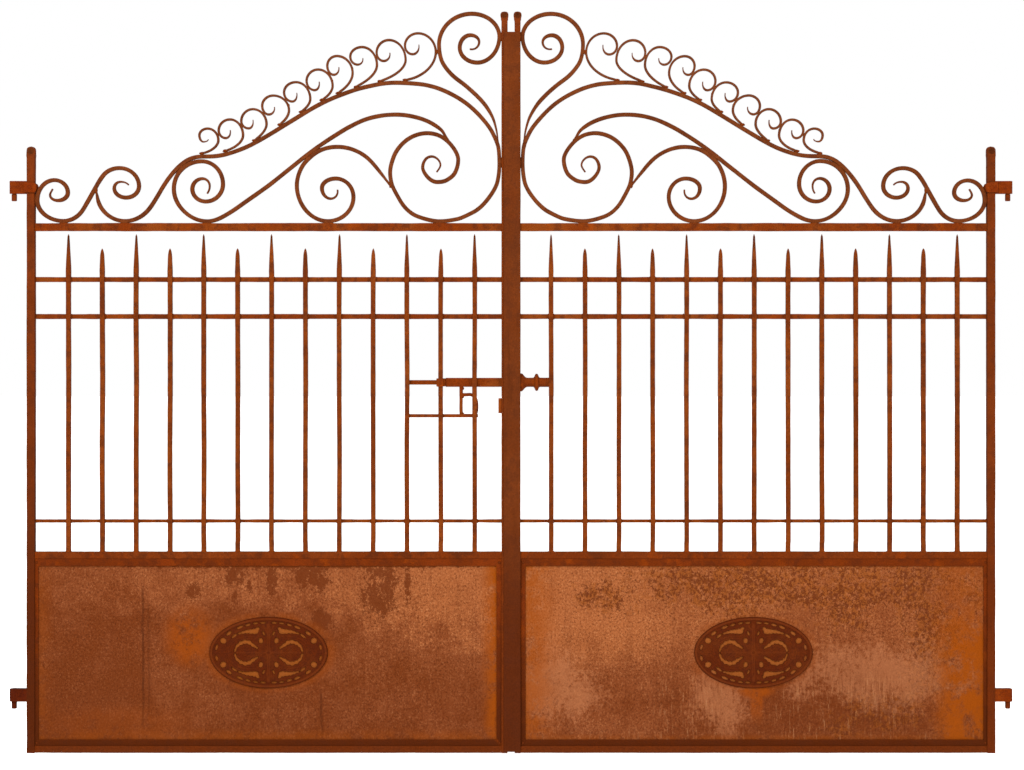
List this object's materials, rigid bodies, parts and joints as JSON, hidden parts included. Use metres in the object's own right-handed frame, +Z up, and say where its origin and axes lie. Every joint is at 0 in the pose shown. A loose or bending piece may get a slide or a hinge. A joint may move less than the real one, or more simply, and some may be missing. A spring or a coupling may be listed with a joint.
{
  "type": "garden gate",
  "caption": "Double wrought-iron garden gate: two picketed leaves with scroll crests, sheet lower panels with cast ovals, hung on pintle pins, with a sliding bolt.",
  "frame": {"origin": "middle of the opening at the level of the bottom edge of the leaves, in the plane of the gate", "axes": "+X along the gate to the right seen from outside, +Y into the garden, the way the leaves open, +Z up"},
  "size_m": [3.008, 0.069, 2.223],
  "materials": {
    "wrought_iron": "matte",
    "sheet_iron": "matte",
    "cast_iron_oval": "matte",
    "strip_iron": "matte",
    "pintle_steel": "matte"
  },
  "bodies": {
    "hinge_pins": {"left_upper_pintle": "pintle_steel", "left_lower_pintle": "pintle_steel", "right_upper_pintle": "pintle_steel", "right_lower_pintle": "pintle_steel"},
    "left_leaf": {"left_hinge_stile": "wrought_iron", "left_meeting_stile": "wrought_iron", "left_top_rail": "wrought_iron", "left_upper_rail": "wrought_iron", "left_middle_rail": "wrought_iron", "left_thin_rail": "wrought_iron", "left_tall_pickets": "wrought_iron", "left_short_pickets": "wrought_iron", "left_panel_rail": "wrought_iron", "left_bottom_rail": "wrought_iron", "left_panel_beads": "wrought_iron", "left_panel_sheet": "sheet_iron", "left_medallion": "cast_iron_oval", "left_rivets": "wrought_iron", "left_outer_scroll": "wrought_iron", "left_arch_scroll": "wrought_iron", "left_lower_scroll": "wrought_iron", "left_middle_scroll": "wrought_iron", "left_top_scroll": "wrought_iron", "left_crest_scrolls": "wrought_iron", "left_upper_gudgeon": "wrought_iron", "left_lower_gudgeon": "wrought_iron", "bolt_guides": "wrought_iron", "grip_rail": "wrought_iron", "stop_lug": "wrought_iron"},
    "right_leaf": {"right_hinge_stile": "wrought_iron", "right_meeting_stile": "wrought_iron", "right_top_rail": "wrought_iron", "right_upper_rail": "wrought_iron", "right_middle_rail": "wrought_iron", "right_thin_rail": "wrought_iron", "right_tall_pickets": "wrought_iron", "right_short_pickets": "wrought_iron", "right_panel_rail": "wrought_iron", "right_bottom_rail": "wrought_iron", "right_panel_beads": "wrought_iron", "right_panel_sheet": "sheet_iron", "right_medallion": "cast_iron_oval", "right_rivets": "wrought_iron", "right_outer_scroll": "wrought_iron", "right_arch_scroll": "wrought_iron", "right_lower_scroll": "wrought_iron", "right_middle_scroll": "wrought_iron", "right_top_scroll": "wrought_iron", "right_crest_scrolls": "wrought_iron", "right_upper_gudgeon": "wrought_iron", "right_lower_gudgeon": "wrought_iron", "cover_strip": "strip_iron", "bolt_keeper": "wrought_iron"},
    "bolt": {"bolt_bar": "wrought_iron", "bolt_grip": "wrought_iron", "bolt_rivets": "wrought_iron"}
  },
  "joints": [
    {"name": "left_leaf_swing", "type": "hinge", "parent": "hinge_pins", "child": "left_leaf", "pos_m": [-1.49, 0, 0], "axis": [0, 0, 1], "range_deg": [0, 95]},
    {"name": "right_leaf_swing", "type": "hinge", "parent": "hinge_pins", "child": "right_leaf", "pos_m": [1.49, 0, 0], "axis": [0, 0, -1], "range_deg": [0, 95]},
    {"name": "bolt_slide", "type": "slide", "parent": "left_leaf", "child": "bolt", "axis": [1, 0, 0], "range_m": [0, 0.04]}
  ]
}
